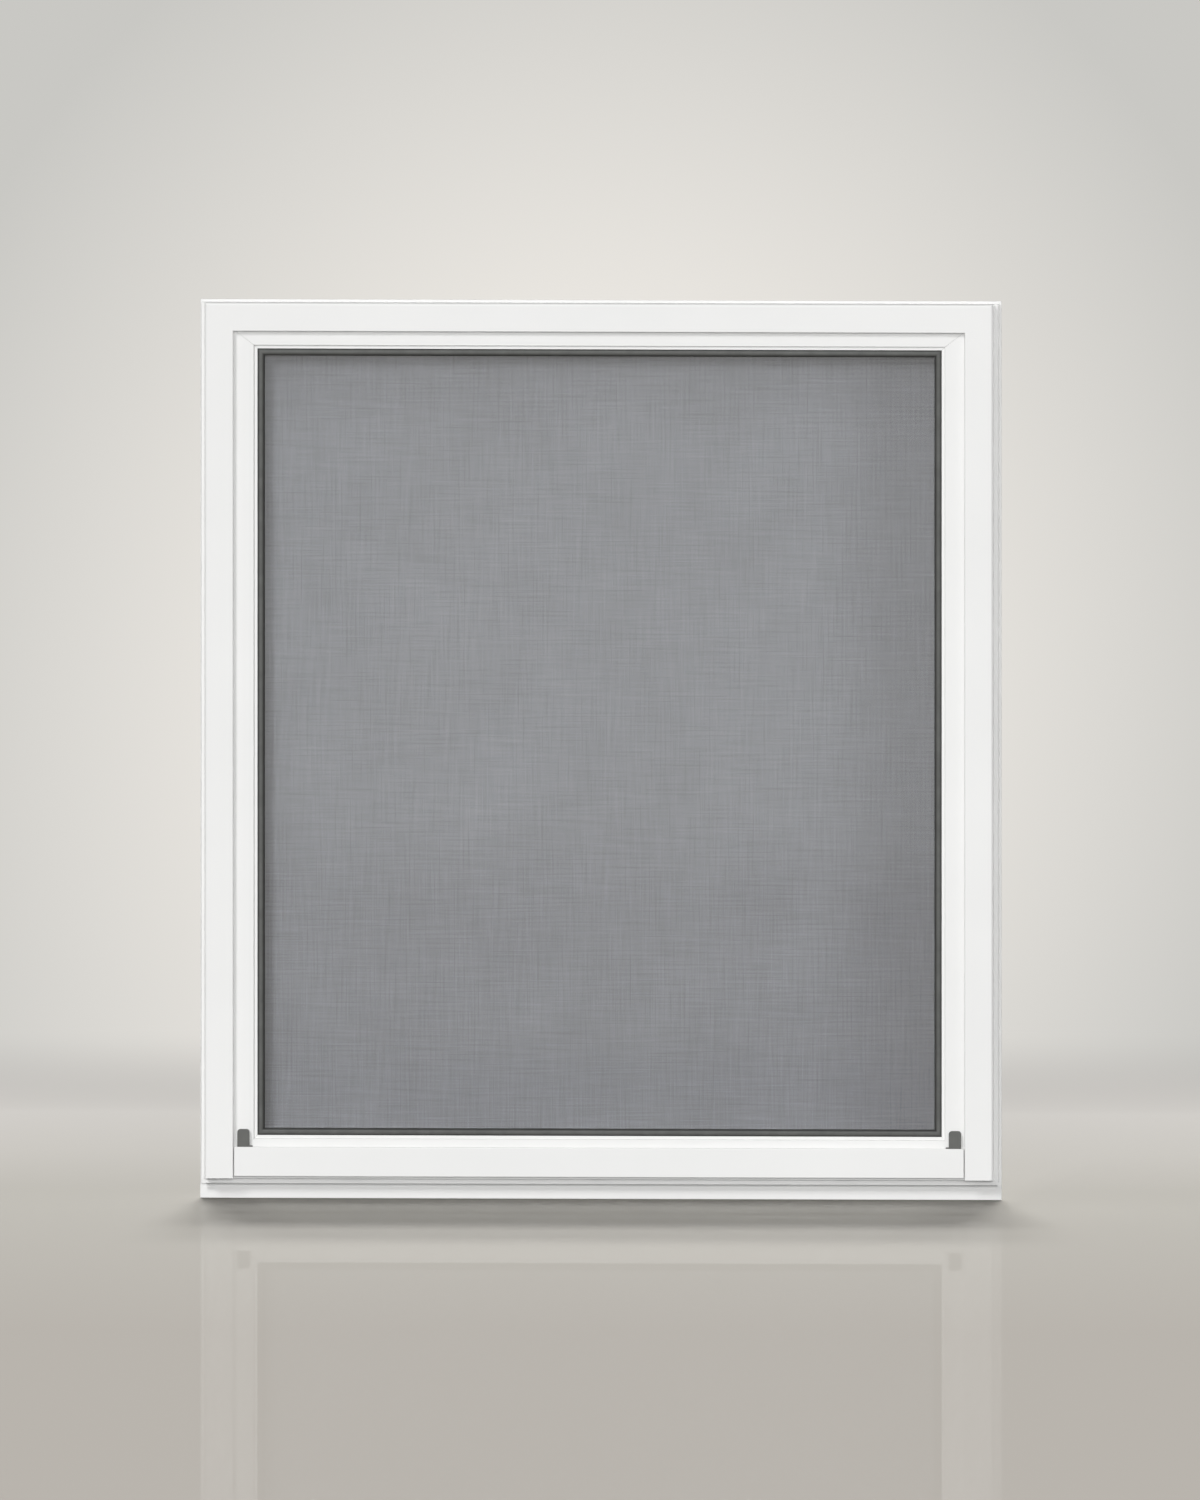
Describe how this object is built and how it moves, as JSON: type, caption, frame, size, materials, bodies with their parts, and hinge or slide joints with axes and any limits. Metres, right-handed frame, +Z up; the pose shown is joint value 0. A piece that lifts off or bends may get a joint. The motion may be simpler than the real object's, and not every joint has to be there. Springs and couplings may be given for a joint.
{
  "type": "fixed storm window",
  "caption": "White aluminium fixed storm window with a recessed glazed sash, dark gasket, grey insect screen behind the pane and grey retainer clips.",
  "frame": {"origin": "under the middle of the window, on the plane that the lower strip stands on", "axes": "+X right as seen from outdoors, +Y from the outdoor face back to the house, +Z up"},
  "size_m": [0.81, 0.03, 0.907],
  "materials": {
    "white_paint": "satin",
    "screen_paint": "satin",
    "gasket_rubber": "matt",
    "clear_glass": "clear",
    "screen_mesh": "woven",
    "spline_vinyl": "matt",
    "clip_plastic": "matt",
    "key_plastic": "matt",
    "key_metal": "cast",
    "screw_steel": "zinc plated",
    "pile_fibre": "brush"
  },
  "bodies": {
    "root": {"bottom_bar": "white_paint", "frame_corner_keys": "key_metal", "frame_head": "white_paint", "frame_jamb_left": "white_paint", "frame_jamb_right": "white_paint", "frame_screws": "screw_steel", "frame_sill": "white_paint", "glass_pane": "clear_glass", "glazing_gasket": "gasket_rubber", "pile_strip_head": "pile_fibre", "pile_strip_left": "pile_fibre", "pile_strip_right": "pile_fibre", "retainer_clip_left": "clip_plastic", "retainer_clip_right": "clip_plastic", "sash_bottom_rail": "white_paint", "sash_corner_keys": "key_plastic", "sash_stile_left": "white_paint", "sash_stile_right": "white_paint", "sash_top_rail": "white_paint", "screen_cloth": "screen_mesh", "screen_corner_keys": "key_plastic", "screen_rail_bottom": "screen_paint", "screen_rail_top": "screen_paint", "screen_spline": "spline_vinyl", "screen_stile_left": "screen_paint", "screen_stile_right": "screen_paint", "sill_extension": "white_paint"}
  },
  "joints": []
}
